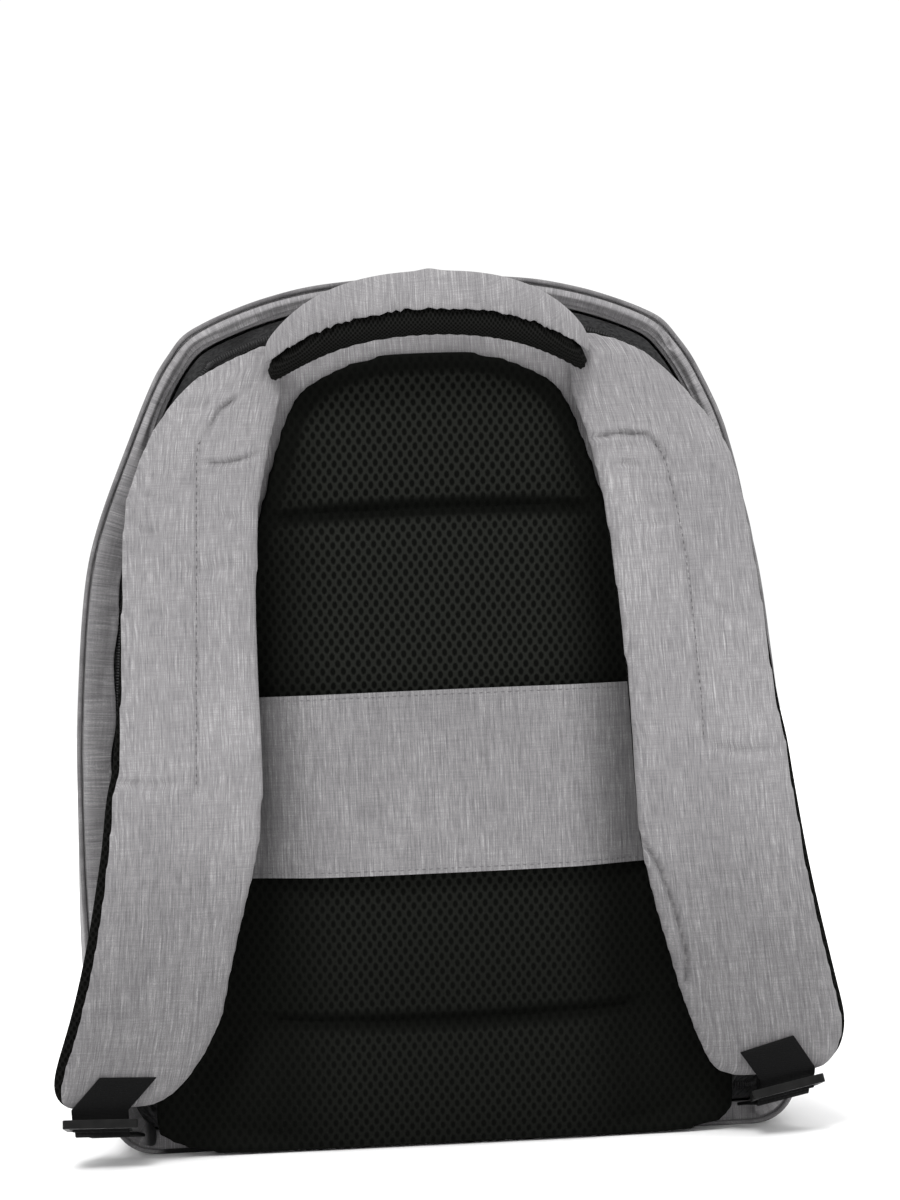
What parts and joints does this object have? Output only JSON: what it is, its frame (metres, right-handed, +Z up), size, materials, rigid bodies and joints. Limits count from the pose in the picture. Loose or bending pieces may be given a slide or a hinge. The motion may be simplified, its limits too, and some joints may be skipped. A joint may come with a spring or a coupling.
{
  "type": "anti theft backpack",
  "caption": "Soft domed backpack standing upright, its zip hidden by a band round the wearer's side, with mesh back cushions, a trolley band, a grab handle and padded shoulder straps.",
  "frame": {"origin": "middle of the flat base, half way through the depth of the body", "axes": "+X to the right seen from the wearer's side, +Y from the wearer's side to the front of the bag, +Z up"},
  "size_m": [0.392, 0.1878, 0.44],
  "materials": {
    "melange_cloth": "grey melange weave with fine pale slubs",
    "air_mesh": "black spacer mesh with staggered oval holes",
    "webbing": "black woven webbing",
    "black_plastic": "black moulded plastic, slightly satin",
    "zip_cloth": "dark zip tape and coil",
    "dark_metal": "black lacquered zip slider"
  },
  "bodies": {
    "root": {"body_shell": "melange_cloth", "rim_band": "melange_cloth", "zip_tape": "zip_cloth", "zip_coil": "zip_cloth", "zip_slider": "dark_metal", "back_panel": "melange_cloth", "mesh_panel": "air_mesh", "luggage_strap": "melange_cloth", "handle_cover": "melange_cloth", "handle_lining": "air_mesh", "shoulder_strap_left": "melange_cloth", "shoulder_strap_right": "melange_cloth", "strap_lining_left": "air_mesh", "strap_lining_right": "air_mesh", "strap_tab_left": "webbing", "strap_tab_right": "webbing", "ladder_lock_left": "black_plastic", "ladder_lock_right": "black_plastic", "adjuster_webbing_left": "webbing", "adjuster_webbing_right": "webbing"}
  },
  "joints": []
}
